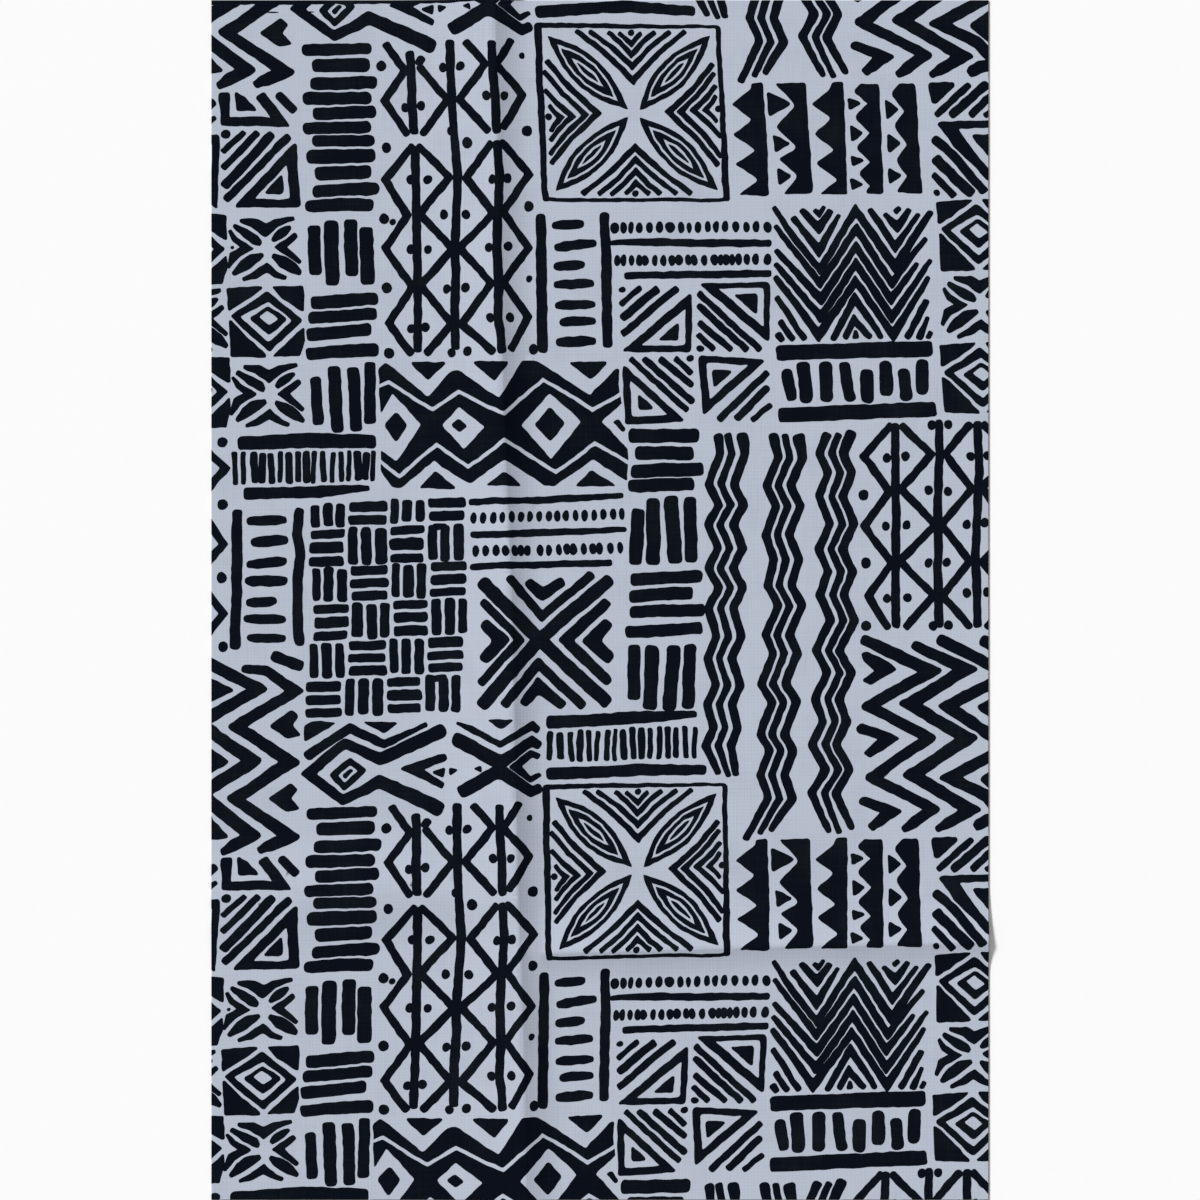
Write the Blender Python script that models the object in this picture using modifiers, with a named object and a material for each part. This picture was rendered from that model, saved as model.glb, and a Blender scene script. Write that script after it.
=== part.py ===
# A cut length of wax print cotton, lying face up and flat, with the creases of its folding.
#
# Metres, +Z up. +X runs across the cloth and +Y runs along it, to the selvedge. The origin lies
# under the middle of the cloth, on the surface that the cloth rests on.
#
# The cloth is one sheet. A lengthwise crease and a crosswise crease stand up from it as low
# ridges. Each has a lit side, which falls away gently, and a shaded side, which is steeper.

import bmesh
import bpy
import numpy as np

MM = 0.001

# The cut length
WIDTH = 368 * MM
LENGTH = 568 * MM
THICKNESS = 1 * MM

# A crease is a table with a row for each station along it, in millimetres:
# its place along the crease, where the crest lies across it, the crest's height, how wide the
# lit and the shaded side are, and how rounded the crest is, from 0, a sharp fold, to 1
COLUMNS = ("along", "crest", "height", "lit_side", "shaded_side", "roundness")

LENGTHWISE_CREASE = (
    (-284, -35, 2.6, 58, 18, 0.15),
    (-190, -37, 3.2, 60, 17, 0.10),
    (-142, -39, 3.5, 60, 16, 0.05),
    (0, -42, 3.0, 60, 15, 0.00),
    (95, -46, 3.3, 60, 16, 0.00),
    (190, -48, 2.8, 58, 15, 0.05),
    (284, -50, 3.1, 56, 16, 0.10),
)

CROSSWISE_CREASE = (
    (-184, -144, 0.6, 34, 34, 1.00),
    (-109, -137, 2.0, 32, 30, 1.00),
    (-71, -137, 2.6, 30, 28, 0.90),
    (-47, -150, 2.6, 30, 23, 0.50),
    (-28, -167, 2.8, 30, 16, 0.10),
    (76, -164, 2.6, 30, 15, 0.05),
    (184, -162, 2.2, 28, 15, 0.15),
)

# Grid lines lie at these shares of a crease's side, from its crest outwards
SIDE_STEPS = (0.0, 0.07, 0.18, 0.34, 0.55, 0.78, 1.0)
# and past the sides, over the flat cloth, about this far apart
FLAT_STEP = 26 * MM

# Pale blue-grey ground of the print
GROUND_COLOUR = (0.462, 0.503, 0.591, 1.0)


def crease_at(crease, along):
    """The values of a crease at a place along it, in metres and as a share for roundness."""
    rows = np.array(crease, dtype=float)
    places = rows[:, 0] * MM
    found = {}
    for index, name in enumerate(COLUMNS[1:], start=1):
        scale = 1.0 if name == "roundness" else MM
        found[name] = float(np.interp(along, places, rows[:, index])) * scale
    return found


def crease_height(crease, along, past_crest):
    """Height of a crease's ridge, at a signed distance past its crest towards the shaded side."""
    here = crease_at(crease, along)
    side = here["shaded_side"] if past_crest > 0 else here["lit_side"]
    rise = max(0.0, 1.0 - abs(past_crest) / side)
    sharp = rise**2
    rounded = rise**2 * (3.0 - 2.0 * rise)
    return here["height"] * (sharp + (rounded - sharp) * here["roundness"])


def cloth_height(x, y):
    """Height of the cloth's underside over the surface that it rests on."""
    lengthwise = crease_height(LENGTHWISE_CREASE, y, x - crease_at(LENGTHWISE_CREASE, y)["crest"])
    crosswise = crease_height(CROSSWISE_CREASE, x, crease_at(CROSSWISE_CREASE, x)["crest"] - y)
    return float(np.hypot(lengthwise, crosswise))


def grid_places(low, high, crest, low_side, high_side, low_count, high_count):
    """Places of the grid lines between two edges: close on a crease's two sides, wide past them."""
    below = [crest - low_side * step for step in reversed(SIDE_STEPS)]
    above = [crest + high_side * step for step in SIDE_STEPS[1:]]
    before = np.linspace(low, below[0], low_count + 1)[:-1]
    after = np.linspace(above[-1], high, high_count + 1)[1:]
    return [*before, *below, *above, *after]


def column_places(y, counts):
    """Places across the cloth, from the left edge to the right, along one row."""
    here = crease_at(LENGTHWISE_CREASE, y)
    sides = (here["lit_side"], here["shaded_side"])
    return grid_places(-WIDTH / 2, WIDTH / 2, here["crest"], *sides, *counts)


def row_places(x, counts):
    """Places along the cloth, from the bottom edge to the selvedge, along one column."""
    here = crease_at(CROSSWISE_CREASE, x)
    sides = (here["shaded_side"], here["lit_side"])
    return grid_places(-LENGTH / 2, LENGTH / 2, here["crest"], *sides, *counts)


def flat_counts(places_at, low, high):
    """How many wide steps fit between each edge and the crease's sides."""
    bare = places_at(0.0, (1, 1))
    return (
        max(1, round((bare[1] - low) / FLAT_STEP)),
        max(1, round((high - bare[-2]) / FLAT_STEP)),
    )


def make_cloth_surface():
    """The cloth's underside: a grid whose lines follow the two creases."""
    column_counts = flat_counts(column_places, -WIDTH / 2, WIDTH / 2)
    row_counts = flat_counts(row_places, -LENGTH / 2, LENGTH / 2)
    columns = len(column_places(0.0, column_counts))
    rows = len(row_places(0.0, row_counts))

    surface = bmesh.new()
    bmesh.ops.create_grid(surface, x_segments=columns - 1, y_segments=rows - 1, size=0.5)
    for vertex in surface.verts:
        column = round((vertex.co.x + 0.5) * (columns - 1))
        row = round((vertex.co.y + 0.5) * (rows - 1))
        y = row_places(0.0, row_counts)[row]
        for _ in range(3):
            x = column_places(y, column_counts)[column]
            y = row_places(x, row_counts)[row]
        vertex.co = (x, y, cloth_height(x, y))
    return surface


def make_printed_cotton():
    """Plain pale cotton, matt on both sides."""
    cotton = bpy.data.materials.new("printed_cotton")
    cotton.use_nodes = True
    shader = cotton.node_tree.nodes["Principled BSDF"]
    shader.inputs["Base Color"].default_value = GROUND_COLOUR
    shader.inputs["Roughness"].default_value = 0.9
    shader.inputs["Metallic"].default_value = 0.0
    return cotton


def make_cloth(collection):
    """The cut length, with its thickness laid on top of the underside."""
    mesh = bpy.data.meshes.new("cloth")
    surface = make_cloth_surface()
    surface.to_mesh(mesh)
    surface.free()
    mesh.materials.append(make_printed_cotton())
    mesh.shade_smooth()

    cloth = bpy.data.objects.new("cloth", mesh)
    collection.objects.link(cloth)
    sheet = cloth.modifiers.new("sheet", "SOLIDIFY")
    sheet.thickness = THICKNESS
    sheet.offset = 1.0
    return cloth


def main():
    for leftover in list(bpy.data.objects):
        bpy.data.objects.remove(leftover, do_unlink=True)
    collection = bpy.data.collections.new("wax print fabric")
    bpy.context.scene.collection.children.link(collection)
    make_cloth(collection)


main()
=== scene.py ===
# Wax print fabric: a cut length of printed cotton, lying face up with the creases of its folding.
# The frame is in metres. The print is charted in millimetres of cloth, (u, v): u runs right from
# the left edge and v runs down from the selvedge.

import math
import random

import bpy
import numpy as np
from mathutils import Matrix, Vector, noise
from mathutils.geometry import delaunay_2d_cdt


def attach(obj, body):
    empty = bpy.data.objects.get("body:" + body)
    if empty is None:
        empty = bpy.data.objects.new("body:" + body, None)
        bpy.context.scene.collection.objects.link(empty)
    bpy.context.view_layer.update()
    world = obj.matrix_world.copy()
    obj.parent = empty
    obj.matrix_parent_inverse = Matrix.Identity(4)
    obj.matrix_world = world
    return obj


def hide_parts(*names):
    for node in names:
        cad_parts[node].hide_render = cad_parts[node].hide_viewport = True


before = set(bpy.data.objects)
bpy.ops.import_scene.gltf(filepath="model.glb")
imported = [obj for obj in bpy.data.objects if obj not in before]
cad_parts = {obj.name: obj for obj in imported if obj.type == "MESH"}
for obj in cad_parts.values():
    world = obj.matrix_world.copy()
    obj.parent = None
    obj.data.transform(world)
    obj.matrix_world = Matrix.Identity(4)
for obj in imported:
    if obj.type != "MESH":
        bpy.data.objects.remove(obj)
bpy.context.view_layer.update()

mm = 0.001

cutLength = {
    "width": 368,
    "length": 568,
    "thickness": 0.35,
    "lift": 0.25,          # the cotton's underside lies this far over the surface it rests on
    "rim": 0.4,            # a row of narrow faces along the edges, which keeps the shading flat up to them
}


# Brush
shapes = []    # the print's outlines in painting order, each with True for ink or False for bare cloth

handCut = {
    "spread": 0.3,             # the ink runs this far past its drawn edge
    "bend": (14, 0.45),      # size of the slow wander of an edge, and how far it goes
    "nick": (3.6, 0.42),       # the same for its small unevenness
    "step": 0.9,
    "noiseSeed": 3,            # keeps the unevenness the same in each run
    "tolerance": 0.055,
    "seed": 3.7,
    "cornerShare": 0.48,       # a round corner takes up at most this share of a side
    "mitreLimit": 0.35,
    "ovalPoints": 12,
}

swelling = {"places": (0, 0.22, 0.75, 1), "widths": (0.62, 1, 1, 0.6)}      # along a rung


def paint(outline, ink=True):
    shapes.append((outline, ink))


def roundCorners(outline, reach):
    # each corner becomes a short curve that starts this far before it
    reach = np.broadcast_to(reach, outline.shape)
    before = np.roll(outline, 1)
    after = np.roll(outline, -1)
    pieces = []
    for a, corner, b, r in zip(before, outline, after, reach):
        start = corner + (a - corner) * min(handCut["cornerShare"], r / abs(a - corner))
        end = corner + (b - corner) * min(handCut["cornerShare"], r / abs(b - corner))
        for s in (0, 0.25, 0.5, 0.75, 1):
            pieces.append((1 - s) ** 2 * start + 2 * s * (1 - s) * corner + s ** 2 * end)
    return np.array(pieces)


def brushLine(points, width, ends=0.45, bends=0.3, outside=None, waist=1.0, ink=True):
    # a stroke along a bent line, with mitred bends and blunt ends; bends may be rounder on their
    # outside, and the legs between them may narrow to a waist
    line = np.array([complex(*p) for p in points])
    widths = np.broadcast_to(np.array(width, float), line.shape)
    if waist < 1:
        middles, thin = (line[:-1] + line[1:]) / 2, (widths[:-1] + widths[1:]) / 2 * waist
        line = np.append(np.stack([line[:-1], middles], 1).ravel(), line[-1])
        widths = np.append(np.stack([widths[:-1], thin], 1).ravel(), widths[-1])
    heading = np.diff(line)
    heading = heading / abs(heading)
    arriving = np.concatenate([heading[:1], heading])
    leaving = np.concatenate([heading, heading[-1:]])
    mean = (arriving + leaving) / abs(arriving + leaving)
    mitre = 1 / np.maximum((mean * arriving.conj()).real, handCut["mitreLimit"])
    side = 1j * mean * mitre * widths / 2
    turn = (arriving.conj() * leaving).imag
    inner, outer = widths * bends, widths * (outside or bends)
    left, right = np.where(turn > 0, inner, outer), np.where(turn > 0, outer, inner)
    for soft in (left, right):
        soft[[0, -1]] = widths[[0, -1]] * ends
    outline = np.concatenate([line + side, (line - side)[::-1]])
    paint(roundCorners(outline, np.concatenate([left, right[::-1]])), ink)


def cutShape(points, soft=1.0, ink=True):
    paint(roundCorners(np.array([complex(*p) for p in points]), soft), ink)


def oval(u, v, wide, tall):
    turn = np.linspace(0, 2 * math.pi, handCut["ovalPoints"], endpoint=False)
    return u + 1j * v + wide / 2 * np.cos(turn) + 1j * tall / 2 * np.sin(turn)


def blob(u, v, wide, tall):
    paint(oval(u, v, wide, tall))


def strokes(table, **brush):
    # rows of thickness, then the two ends of a bar
    for width, u1, v1, u2, v2 in table:
        brushLine([(u1, v1), (u2, v2)], width, **brush)


def swollen(width, u1, v1, u2, v2):
    # a short rung that narrows at its ends
    start, end = complex(u1, v1), complex(u2, v2)
    places = [start + (end - start) * s for s in swelling["places"]]
    brushLine([(p.real, p.imag) for p in places], np.array(swelling["widths"]) * width, ends=0.5)


def inset(points, distances):
    # the outline moved inwards, by its own distance on each side
    line = np.array([complex(*p) for p in points])
    after = np.roll(line, -1)
    area = np.sum((line.conj() * after).imag)
    along = (after - line) / abs(after - line)
    inward = 1j * along * np.sign(area)
    moved = line + inward * np.broadcast_to(distances, line.shape)
    corners = []
    for i in range(len(line)):
        p, d = moved[i - 1], along[i - 1]
        q, e = moved[i], along[i]
        t = ((q - p) * e.conj()).imag / (d * e.conj()).imag
        corners.append(p + d * t)
    return [(c.real, c.imag) for c in corners]


def nested(points, bands, cores, soft=2.2):
    # a ring with a smaller solid shape inside it
    cutShape(points, soft)
    cutShape(inset(points, bands), soft, ink=False)
    cutShape(inset(points, cores), soft * 0.8)


# Bars
stackedBars = (      # thickness, then the ends of each bar
    (5, 43.1, 23.6, 75.3, 23),
    (6, 47.8, 30.9, 74.7, 30.8),
    (5.6, 47, 39.8, 78.2, 38.7),
    (5.6, 43.3, 46.8, 75.5, 46.2),
    (5.6, 48, 54, 77.7, 52.8),
    (5.3, 43.1, 60.9, 75, 60.1),
    (4.8, 47.8, 66.8, 76.8, 66.4),
    (6.2, 44.7, 74.2, 77.3, 73.4),
    (6.2, 48.9, 81.9, 75.7, 81.4),
    (5.6, 48, 90.6, 79, 89.1),
    (5.6, 44.6, 97.5, 76.5, 96.7),
)

turnedBars = (       # fours of bars, by turns upright and lying, in two stacks
    (5.6, 48.5, 107, 49, 130), (6.4, 56.5, 104.5, 57, 135),
    (6, 65.5, 104, 66.5, 130.5), (6, 73, 107.5, 74, 134.5),
    (5.8, 47, 143.5, 78.5, 141), (5.3, 46, 150.5, 78, 148.5),
    (5.6, 45.5, 158.5, 75.5, 156), (5.6, 45, 167.5, 79, 165.5),
    (5, 49, 178.5, 50.5, 201), (5.6, 58, 173.5, 59.5, 204.5),
    (5.4, 67, 174, 68.5, 204), (5, 75, 171.5, 75, 200.5),
    (6.2, 197.5, 206.5, 230.5, 206), (6, 200.5, 214.5, 228, 214.5),
    (6, 199, 223, 233, 222), (5.8, 197.5, 230, 228.5, 229),
    (5.8, 202, 241, 200.5, 267), (6.4, 209, 236, 209, 267),
    (6.4, 217.5, 235, 219.5, 266.5), (5.6, 226.5, 235.5, 227, 266),
    (5.6, 198.5, 274.5, 232, 272.5), (5.6, 198, 282.5, 227.5, 280.5),
    (5.4, 198, 290, 233.5, 288.5), (5.2, 196, 299.5, 232.5, 297),
    (5.4, 200, 305.5, 200, 331.5), (6.2, 208.5, 305.5, 207.5, 336),
    (6.2, 219, 305.5, 216.5, 336.5), (5.4, 226.5, 305, 225.5, 335.5),
)

barStrip = {
    "rails": ((7, 267.5, 167, 341, 165), (6.6, 268.5, 196.5, 343, 193.5)),
    "bars": (
        (5, 272, 175, 274.5, 189.5), (5.8, 280, 171.5, 281.5, 190.5),
        (5.8, 290.5, 171.5, 291, 190), (5, 299, 171.5, 302.5, 190),
        (6, 310, 175, 310.5, 190.5), (5.8, 319, 171, 319.5, 187),
        (5.4, 327.5, 174.5, 329, 189.5), (5.6, 336.5, 170, 336.5, 186.5),
    ),
}


def printBars():
    strokes(stackedBars)
    strokes(turnedBars, ends=0.36)
    strokes(barStrip["rails"], ends=0.25)
    strokes(barStrip["bars"])


# Combs and ladders
combs = {
    "upper": {
        "rail": ([(12.5, 210), (45, 208.5), (77.5, 209)], [6, 6.8, 6]),
        "foot": ([(15, 233.9), (55, 232.5), (74.5, 231)], [5.2, 5, 2.2]),
        "teeth": (11, 15, 20, 24, 28, 32.5, 36.5, 41, 45, 48.5, 52.5, 57, 61, 65, 69, 73, 76.3),
        "thick": (2.1, 1.8, 3.2, 3, 2.8, 1.9, 3.1, 2.5, 3.2, 1.8, 2.2, 1.9, 2.2, 1.8, 3.4, 3, 1.9),
        "top": (214.4, 213.8),
        "bottom": (228.9, 227.5),
    },
    "lower": {
        "rail": ([(158.5, 342), (205, 339.6), (229.5, 338)], [5.6, 5.4, 2.6]),
        "foot": ([(158.5, 366.5), (200, 364.6), (234, 364.5)], [5.2, 5.2, 4.2]),
        "teeth": (160.3, 165, 170, 174.5, 178.5, 182.5, 187.3, 191, 195, 199.5, 203.5, 207.5, 212, 216,
                  220, 224.5, 229),
        "thick": (2.4, 2.9, 2.2, 2.7, 2, 1.9, 2.3, 1.7, 2.7, 2.3, 2.9, 2, 2.2, 2.5, 2.5, 2, 1.8),
        "top": (346.3, 343.7),
        "bottom": (360, 358.3),
    },
}

ladders = {
    "left": {
        "uprights": (([(12.2, 241.5), (11.9, 275), (11, 307.5)], 4.6),
                     ([(41.6, 240.5), (40.6, 253.5), (42.2, 263), (40.7, 274), (40.7, 294),
                       (41.6, 305.5)], 4.4)),
        "rungs": ((4.4, 17, 247, 35.5, 246), (4.6, 18.5, 257, 36, 255.5),
                  (4.4, 16.5, 267, 35.5, 265.5), (4.8, 16, 275, 36, 275),
                  (4.3, 16.5, 285.5, 30.5, 284.5), (4.2, 15.5, 293, 35, 293),
                  (4, 17, 302, 35, 302)),
    },
    "middle": {
        "uprights": (([(155.8, 101.5), (156.2, 140), (156.7, 167)], 4.6),
                     ([(186, 100.5), (187, 130), (187.2, 164.5)], 4.3)),
        "rungs": ((4, 161.5, 106.7, 176, 106), (4.2, 162.5, 117, 182, 115),
                  (4.3, 162, 126, 176.5, 125.5), (4, 162, 134.6, 181, 134),
                  (4.2, 162.5, 144.8, 181.5, 144), (4.2, 165, 152.6, 181.5, 152),
                  (4.5, 163, 162, 181.5, 161.5)),
    },
}


toothWander = {      # how far a tooth leans and its ends stray, and how fast that changes with u
    "lean": (0.5, 2.3),
    "top": (0.5, 5),
    "bottom": (0.6, 3),
    "topShare": 0.4,
}


def wander(name, u):
    reach, pace = toothWander[name]
    return reach * math.sin(u * pace)


def printComb(comb):
    for points, width in (comb["rail"], comb["foot"]):
        brushLine(points, width, ends=0.35)
    first, last = comb["teeth"][0], comb["teeth"][-1]
    for u, width in zip(comb["teeth"], comb["thick"]):
        share = (u - first) / (last - first)
        top = comb["top"][0] + (comb["top"][1] - comb["top"][0]) * share
        bottom = comb["bottom"][0] + (comb["bottom"][1] - comb["bottom"][0]) * share
        lean = wander("lean", u)
        upper, lower = top + wander("top", u), bottom + wander("bottom", u)
        brushLine([(u - lean * toothWander["topShare"], upper), (u + lean, lower)], width)


def printLadder(ladder):
    for points, width in ladder["uprights"]:
        brushLine(points, width)
    for rung in ladder["rungs"]:
        swollen(*rung)


# Lattices
lattices = {
    "diagonal": 3.3,
    "upright": 3.7,
    "dot": (3.6, 4.1),
    "marginDot": (4.3, 4.8),
    "speck": (2.6, 2.8),
    "left": {
        "uprights": (
            [(94, 24.5), (94.5, 33), (95, 48.5), (96, 63.5)],
            [(96.5, 69.5), (97, 102.5), (97.5, 135.5), (97.7, 167)],
            [(113, 19), (113.5, 46.5), (116.5, 84), (115.5, 116), (115.5, 151.5), (115.5, 165.5)],
            [(132.5, 19.5), (134, 45.5), (135.5, 63.5)],
            [(135.3, 67), (136.5, 84), (135.5, 101.5), (135, 117.5), (136, 134.5), (135.7, 150.5),
             (137.5, 167.5)],
        ),
        "diagonals": (
            [(82, 20.5), (91.5, 33.5), (81.8, 47.5), (93, 64)],
            [(100, 27), (97.5, 31)],
            [(98, 31.5), (111.5, 47.3), (99.5, 64)],
            [(119.8, 19.5), (129.5, 30.5), (117, 47.3), (132, 63)],
            [(141.8, 18.5), (135.3, 30.5)],
            [(135.3, 31), (147, 45), (138, 61.5)],
            [(95.5, 68.8), (82.2, 85), (92.8, 102), (82.2, 117.5), (95, 135.5), (83.8, 153), (95, 168)],
            [(97.5, 68.8), (112.6, 84), (98.5, 101.5), (114.5, 117.5), (98.8, 135), (114, 153),
             (101.5, 168)],
            [(133, 67.5), (120.3, 84.5), (133.5, 101.2), (117.5, 117.5), (132.5, 134.5), (118.5, 153.5),
             (134, 167.3)],
            [(137, 67), (150.3, 82.5), (138, 100.3), (149.8, 117.5), (138, 134), (150, 150), (141, 166)],
        ),
        "dots": ((91.8, 51), (99.2, 50), (94.2, 85), (102.3, 85), (94.2, 118), (102.5, 118),
                 (94.6, 155.5), (101.3, 155), (109.5, 32), (117.8, 31.4), (113.2, 62.3), (110, 101.6),
                 (120.5, 101.6), (111.5, 137), (120, 136.4), (113.5, 167), (121.2, 166.3), (130, 45.5),
                 (138.4, 45.5), (133, 85), (140, 84.5), (131.3, 117.6), (140, 117), (132, 150.5),
                 (141.3, 150.5)),
        "marginDots": ((80.1, 31.2), (82.6, 69.8), (81.8, 103.3), (83.1, 136.2), (84, 167), (121.2, 67.7),
                       (149.2, 61.9), (150.2, 97.7), (152.3, 165.5)),
        "specks": ((85.7, 105), (146.8, 26.3), (150.5, 132.2)),
    },
    "right": {
        "uprights": (
            [(323.5, 200.5), (324, 250), (324, 297)],
            [(344.2, 199), (344.6, 214), (343.6, 240), (344.4, 297)],
            [(362.3, 199.5), (363.6, 222), (361.6, 262), (362.7, 297)],
        ),
        "diagonals": (
            [(322, 200.8), (308.8, 216), (321, 232.5), (308.8, 249), (322, 266.5), (311, 282),
             (320.5, 297.5)],
            [(326, 200.8), (340.5, 215), (326.5, 231.5), (342.5, 248.5), (326, 265.5), (342, 282),
             (328, 297.5)],
            [(359.5, 200.2), (347.5, 215), (360, 231.5), (345.2, 248.2), (359, 265.5), (346, 282),
             (359.5, 297.5)],
            [(364.5, 200), (379.3, 214.5), (365, 231), (378.3, 250.5), (365, 266), (378.6, 283.5),
             (366.5, 297.5)],
        ),
        "dots": ((319.6, 216.6), (328.5, 216), (319, 249), (329, 248.5), (320, 283.5), (329.5, 283),
                 (359.3, 216.2), (367.4, 215.8), (357.5, 248), (366.2, 247.4), (357.5, 280.5), (367, 280.2),
                 (340.8, 201.1), (348.7, 201), (339.2, 232), (348.6, 232.4), (339.6, 266.4), (348.2, 266),
                 (341.6, 296.2), (348.6, 296)),
        "marginDots": ((308.7, 234.4), (309.6, 266.5), (310, 295.9), (377.7, 201.9), (377.7, 231.6),
                       (377.6, 266.6),
                       (378, 298.8)),
        "specks": (),
    },
}


def printLattice(side):
    lattice = lattices[side]
    for points in lattice["uprights"]:
        brushLine(points, lattices["upright"])
    for points in lattice["diagonals"]:
        brushLine(points, lattices["diagonal"], bends=0.25)
    for u, v in lattice["dots"]:
        blob(u, v, *lattices["dot"])
    for u, v in lattice["marginDots"]:
        blob(u, v, *lattices["marginDot"])
    for u, v in lattice["specks"]:
        blob(u, v, *lattices["speck"])


# Rosette
rosette = {
    "frame": ((152.7, 10.9), (240.6, 12.2), (245.2, 95.1), (156.8, 95.3)),
    "opening": ((155.8, 13), (239, 13.3), (242.3, 93.9), (159.1, 93.9)),
    "leafTips": (((159.5, 17.3), (196.7, 51.6)), ((235.7, 17.3), (202.5, 51.6)),
                 ((162.8, 90.5), (197.2, 55.9)), ((239.2, 89.6), (202.8, 55.9))),
    "softCorners": (1.6, 0.9),                # of the frame and of its opening
    "leafLayers": ((1, 7), (0.80, 5.4), (0.66, 3.9), (0.42, 2.5), (0.26, 0.8)),   # length, half width
    "leafPoints": 13,                         # along each side of a leaf
    "leafFullness": 0.9,                      # lower is blunter
    "chevrons": (      # from the outermost inwards: an arm's end, the apex, the other arm's end
        ((172.5, 14.6), (199.4, 38.2), (224.2, 14.9)), ((179, 15), (199, 31.6), (217, 15)),
        ((187.3, 15.1), (198.6, 26), (210, 15)), ((192.4, 15.3), (198.6, 20.7), (203.6, 15.6)),
        ((175.3, 91.8), (200.6, 69.4), (227, 91.8)), ((183, 92), (200.8, 75.2), (220, 92)),
        ((189, 92), (200.9, 81), (212.5, 92)), ((196, 91.6), (200.9, 86.5), (207.5, 91.9)),
        ((158.6, 28.6), (182.8, 53.6), (161, 77.5)), ((157.2, 33.4), (177, 54.2), (160.4, 73)),
        ((157.7, 42.5), (170.5, 54.9), (160.3, 66.6)), ((159.5, 50), (165.2, 55.5), (160.4, 62)),
        ((237.6, 30), (216.3, 53.1), (240, 78.4)), ((238.1, 34.4), (222, 52.7), (241.3, 74.5)),
        ((238.6, 40.5), (228, 52.2), (241, 65)), ((238.6, 45.5), (233.6, 52), (239.1, 57.4)),
    ),
    "chevronWidth": (2.2, 2, 2, 1.9),
    "chevronBow": (1.6, 1.3, 0.8, 0.3),      # how far an arm's middle lies inside its straight line
    "apexShare": 1.2,                         # how much wider an apex is
    "dots": ((198.6, 15.2), (200.6, 91.6), (159.6, 55.5), (239.8, 51.2)),
    "dot": (3, 2.6),
}


def leaf(tips, share, halfWidth, ink):
    a, b = (complex(*t) for t in tips)
    middle, half = (a + b) / 2, (b - a) / 2 * share
    side = 1j * half / abs(half) * halfWidth
    s = np.linspace(-1, 1, rosette["leafPoints"])
    bulge = np.cos(s * math.pi / 2) ** rosette["leafFullness"]
    upper = middle + half * s + side * bulge
    lower = (middle + half * s - side * bulge)[::-1]
    paint(np.concatenate([upper, lower[1:-1]]), ink)


def bowed(arm, apex, towards, reach):
    # a chevron's arm, from its end to its apex, with its middle pulled inwards
    arm, apex, towards = complex(*arm), complex(*apex), complex(*towards)
    middle = (arm + apex) / 2
    inward = towards - apex
    middle += inward / abs(inward) * reach
    return middle.real, middle.imag


def printRosette():
    frameCorner, openingCorner = rosette["softCorners"]
    cutShape(rosette["frame"], frameCorner)
    cutShape(rosette["opening"], openingCorner, ink=False)
    for tips in rosette["leafTips"]:
        for layer, (share, halfWidth) in enumerate(rosette["leafLayers"]):
            leaf(tips, share, halfWidth, layer % 2 == 0)
    for i, (first, apex, last) in enumerate(rosette["chevrons"]):
        width, bow = rosette["chevronWidth"][i % 4], rosette["chevronBow"][i % 4]
        inside = (first[0] + last[0]) / 2, (first[1] + last[1]) / 2
        points = [first, bowed(first, apex, inside, bow), apex, bowed(last, apex, inside, bow), last]
        widths = [width, width, width * rosette["apexShare"], width, width]
        brushLine(points, widths, ends=0.35, bends=0.2)
    for u, v in rosette["dots"]:
        blob(u, v, *rosette["dot"])


# Beads between lines
beads = {
    "lines": (     # widths and ends
        ([2.1, 3.1, 3.1, 2.7], [(189, 114.8), (205, 114.4), (250, 115.2), (265, 115.2)]),
        ([2.9, 3.1, 3.1], [(195.5, 130.6), (230, 129.9), (265, 129.2)]),
        ([2.7, 2.9, 2.3], [(121.8, 237.7), (160, 236.4), (194.6, 234.7)]),
        ([2.9, 2.9, 2.1], [(122.8, 253.4), (160, 252), (196.4, 250.6)]),
        ([2.7, 2.9, 2.7], [(122.8, 268.3), (155, 267.2), (189.5, 266.3)]),
    ),
    "height": 5,
    "rows": (      # each bead's place and width, with the heights of the row's two ends
        ((107.7, 107.4), (191, 3.6), (195, 2.6), (198.4, 2.4), (202.6, 3), (207.4, 2.8), (212, 3),
         (217, 4.4),
         (222.3, 2.8), (226, 1.8), (230, 2.7), (234.8, 2.5), (238.6, 2.5), (243, 3), (248, 2.9), (253, 2.8),
         (257.6, 3.1), (263, 3.3)),
        ((123.4, 122.6), (192, 2.6), (195, 2.8), (198.8, 2), (202.6, 3.2), (205.4, 3.2), (210, 2.5),
         (214, 2.4),
         (218, 3.2), (221.2, 3.2), (225.6, 3), (228.4, 2.9), (233, 2.6), (237.8, 3.4), (240.8, 3.2),
         (243.6, 3.3),
         (246.4, 2.8), (249.6, 3), (253.5, 2.6), (257.5, 2.8), (263, 3.2)),
        ((245.4, 243.3), (124, 2.6), (128.6, 2.7), (133.4, 2.7), (137.6, 2.3), (142, 2.5), (146.4, 2.6),
         (150.6, 2.4),
         (155, 2.5), (159.6, 2.9), (163.6, 2.7), (167.6, 2.9), (172.2, 2.3), (176.6, 2.7), (181, 2.5),
         (185.4, 2.6),
         (190, 2.8), (194.3, 2.3)),
        ((261, 259.4), (125.2, 2.8), (129.8, 3), (134.8, 2.9), (139, 3), (143.4, 3.3), (146.4, 3.1),
         (149.4, 3),
         (155.4, 2.7), (159.6, 2.6), (164.4, 2.6), (168.4, 3.2), (171.4, 3.2), (176.2, 2.7), (180.6, 3.2),
         (183.6, 3.1),
         (188.8, 2.7), (193.4, 2.6)),
    ),
}


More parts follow.
